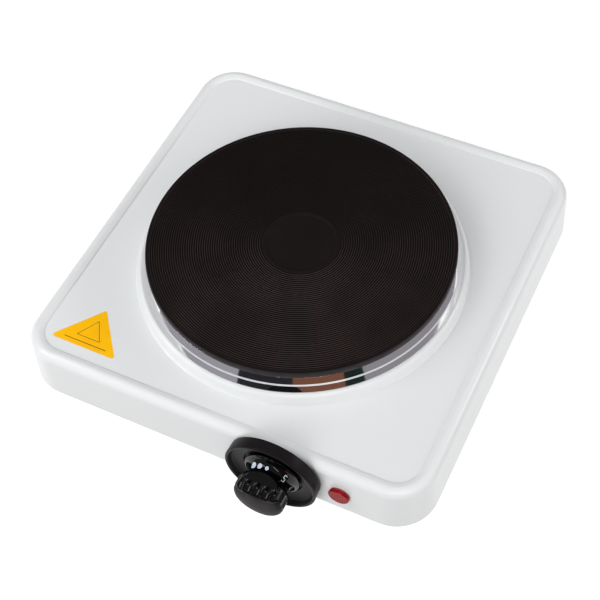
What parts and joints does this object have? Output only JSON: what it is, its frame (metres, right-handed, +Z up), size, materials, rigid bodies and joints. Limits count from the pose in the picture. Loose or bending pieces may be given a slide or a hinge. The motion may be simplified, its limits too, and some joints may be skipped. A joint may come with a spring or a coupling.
{
  "type": "hot plate burner",
  "caption": "Tabletop electric hot plate: square white housing, round cast iron plate in a steel spill ring, front rotary control and red indicator.",
  "frame": {"origin": "bottom centre of the whole object's box, on the surface that the feet stand on", "axes": "+Z up out of the cooking face, the control knob faces -Y, +X is to the right seen from the front"},
  "size_m": [0.2586, 0.292, 0.0665],
  "materials": {
    "white_enamel": "gloss white enamel on pressed steel",
    "galvanised": "galvanised sheet",
    "cast_iron": "dark heat-resistant coating over turned grooves",
    "stainless": "polished stainless",
    "steatite": "matt unglazed",
    "resistance_wire": "oxidised",
    "aluminised": "matt",
    "zinc_steel": "zinc plated",
    "brass": "plain",
    "bimetal": "rolled",
    "black_satin": "satin",
    "black_gloss": "gloss skirt and grip, satin cap",
    "red_lens": "translucent red, ribbed",
    "clear_glass": "clear",
    "black_rubber": "matt",
    "wire_brown": "sleeved",
    "wire_blue": "sleeved",
    "wire_black": "sleeved",
    "wire_green": "sleeved",
    "amber_print": "printed film, no lettering"
  },
  "bodies": {
    "stove_body": {"top_housing": "white_enamel", "base_plate": "galvanised", "hot_plate": "cast_iron", "spill_ring": "stainless", "insulation_fill": "steatite", "heating_coil": "resistance_wire", "element_cover": "aluminised", "element_terminals": "steatite", "element_pins": "zinc_steel", "centre_stud": "zinc_steel", "stud_spacer": "zinc_steel", "clamp_bridge": "zinc_steel", "stud_washer": "zinc_steel", "stud_nut": "zinc_steel", "heat_shield": "aluminised", "thermostat_frame": "zinc_steel", "thermostat_bushing": "brass", "thermostat_block": "steatite", "contact_carrier": "brass", "bimetal_strip": "bimetal", "fixed_contact": "brass", "knob_bezel": "black_satin", "bezel_screws": "zinc_steel", "indicator_lens": "red_lens", "indicator_body": "black_satin", "neon_bulb": "clear_glass", "indicator_clip": "zinc_steel", "supply_terminals": "steatite", "terminal_screws": "brass", "block_screw": "zinc_steel", "earth_screw": "brass", "cord_gland": "black_satin", "gland_nut": "black_satin", "foot_front_left": "black_rubber", "foot_front_right": "black_rubber", "foot_rear_left": "black_rubber", "foot_rear_right": "black_rubber", "foot_screws": "zinc_steel", "foot_nuts": "zinc_steel", "base_screws": "zinc_steel", "live_wire": "wire_brown", "neutral_wire": "wire_blue", "switched_wire": "wire_black", "earth_wire": "wire_green", "lamp_wires": "wire_black", "amber_sticker": "amber_print"},
    "knob_body": {"knob": "black_gloss", "knob_shaft": "zinc_steel", "knob_clip": "zinc_steel"},
    "plunger_body": {"plunger": "steatite"},
    "blade_body": {"contact_blade": "brass"}
  },
  "joints": [
    {"name": "knob_turn", "type": "hinge", "parent": "stove_body", "child": "knob_body", "pos_m": [0.042, -0.13062, 0.03], "axis": [0, 1, 0], "range_deg": [0, 310]},
    {"name": "plunger_slide", "type": "slide", "parent": "stove_body", "child": "plunger_body", "axis": [0, 1, 0], "range_m": [0, 0.00087]},
    {"name": "blade_swing", "type": "hinge", "parent": "stove_body", "child": "blade_body", "pos_m": [0.0312, -0.08853, 0.03], "axis": [0, 0, 1], "range_deg": [0, 4.7]}
  ],
  "couplings": [
    {"joint": "plunger_slide", "follows": "knob_turn", "m_per_rad": 0.00015915},
    {"joint": "blade_swing", "follows": "knob_turn", "ratio": 0.014705}
  ]
}
